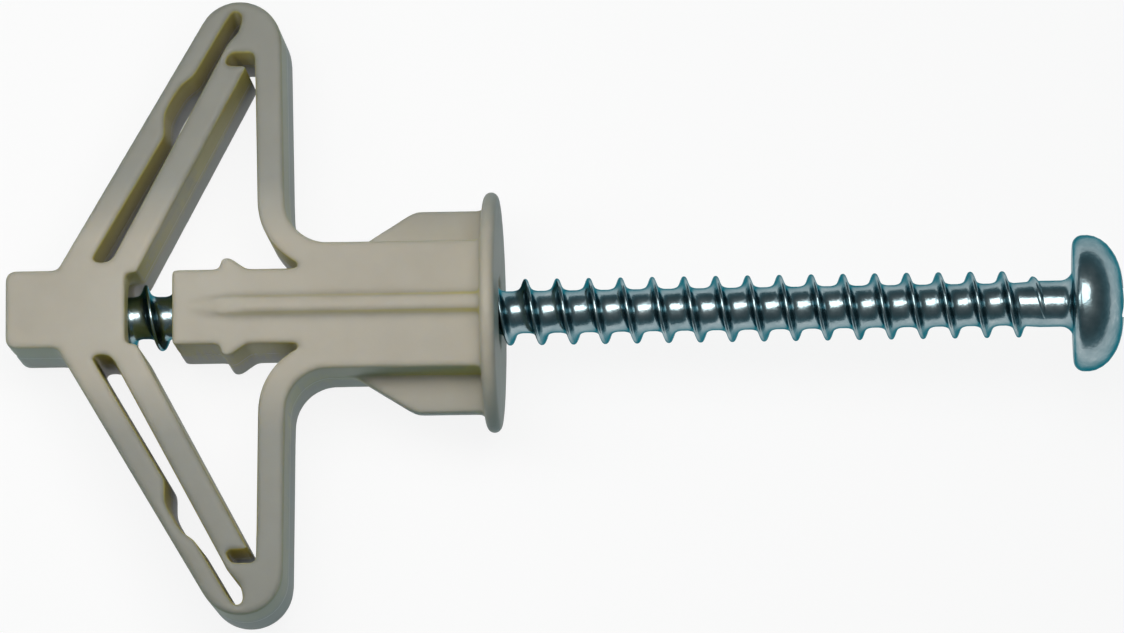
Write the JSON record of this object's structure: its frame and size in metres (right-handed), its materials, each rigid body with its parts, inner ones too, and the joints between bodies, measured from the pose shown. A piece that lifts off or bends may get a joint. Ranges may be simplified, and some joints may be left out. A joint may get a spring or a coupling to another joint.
{
  "type": "hollow wall anchor with screw",
  "caption": "Plastic toggle anchor for hollow walls, legs spread behind the board, with its long pan-head cross-recess screw.",
  "frame": {"origin": "centre of the flange's board-side face, on the screw's axis", "axes": "+X along the screw towards its head, legs spread along +Y and -Y, Z through the thickness of the moulding"},
  "size_m": [0.0736, 0.0408, 0.016],
  "materials": {
    "nylon": "fine satin, warm grey-beige",
    "zinc_steel": "bright zinc plate"
  },
  "bodies": {
    "anchor": {"anchor_body": "nylon"},
    "driven_screw": {"screw": "zinc_steel"}
  },
  "joints": [
    {"name": "screw_drive", "type": "slide", "parent": "anchor", "child": "driven_screw", "axis": [1, 0, 0], "range_m": [-0.0377, 0.0325]}
  ]
}
